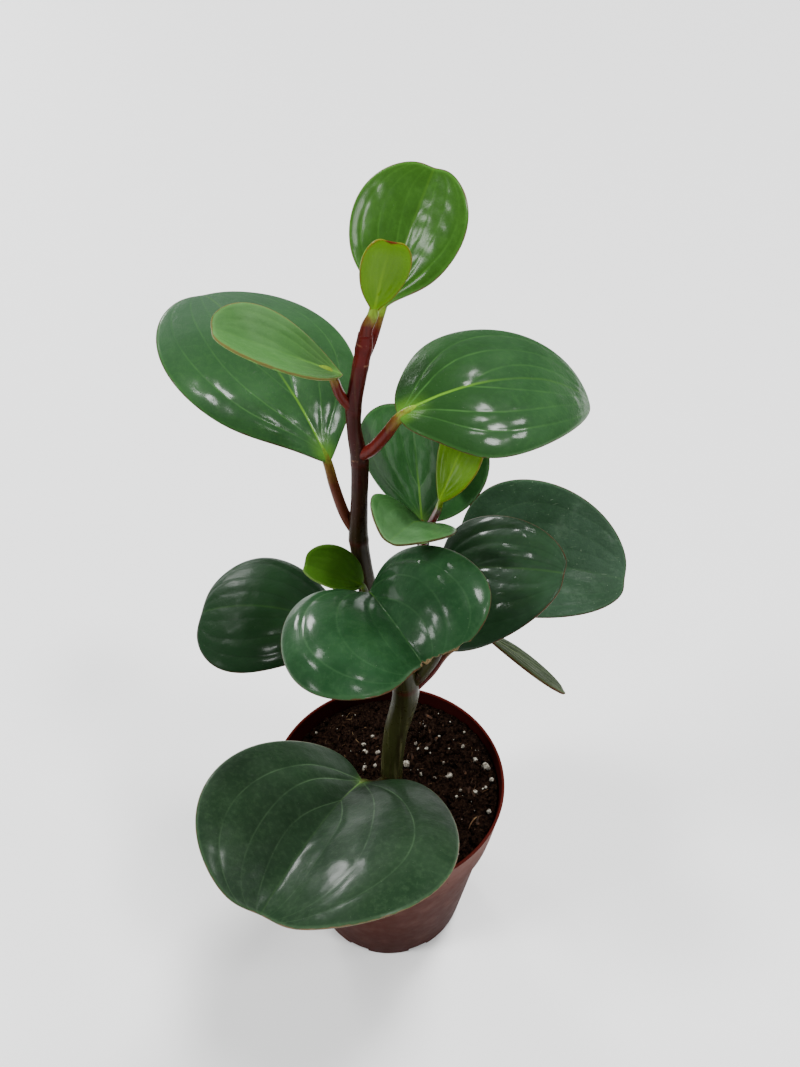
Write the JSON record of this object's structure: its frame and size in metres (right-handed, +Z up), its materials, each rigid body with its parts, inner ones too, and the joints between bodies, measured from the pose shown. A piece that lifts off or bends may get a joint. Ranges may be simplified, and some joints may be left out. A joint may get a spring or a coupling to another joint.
{
  "type": "potted peperomia",
  "caption": "Young upright peperomia with glossy rounded fleshy leaves on red stalks along a forked zigzag stem, growing in a tapered terracotta-coloured plastic nursery pot of peat soil.",
  "frame": {"origin": "centre of the pot's flat underside", "axes": "+Z up along the pot's axis, -Y towards the side that the picture is taken from, +X to that viewer's right"},
  "size_m": [0.1556, 0.1527, 0.3287],
  "materials": {
    "pot": "satin",
    "soil": "matte",
    "stem": "satin",
    "leaf_mature": "glossy",
    "leaf_young": "glossy",
    "leaf_newest": "satin"
  },
  "bodies": {
    "root": {"pot": "pot", "soil": "soil", "main_stem": "stem", "side_shoot": "stem", "leaf_lowest_front": "leaf_mature", "leaf_left_low": "leaf_mature", "leaf_low_right": "leaf_mature", "leaf_centre_front": "leaf_mature", "leaf_small_round": "leaf_young", "leaf_far_right": "leaf_mature", "leaf_right_middle": "leaf_mature", "side_leaf_front": "leaf_young", "side_leaf_back": "leaf_mature", "side_leaf_youngest": "leaf_newest", "leaf_left_large": "leaf_mature", "leaf_right_large": "leaf_mature", "leaf_left_young": "leaf_young", "leaf_top": "leaf_young", "leaf_youngest": "leaf_newest"}
  },
  "joints": []
}
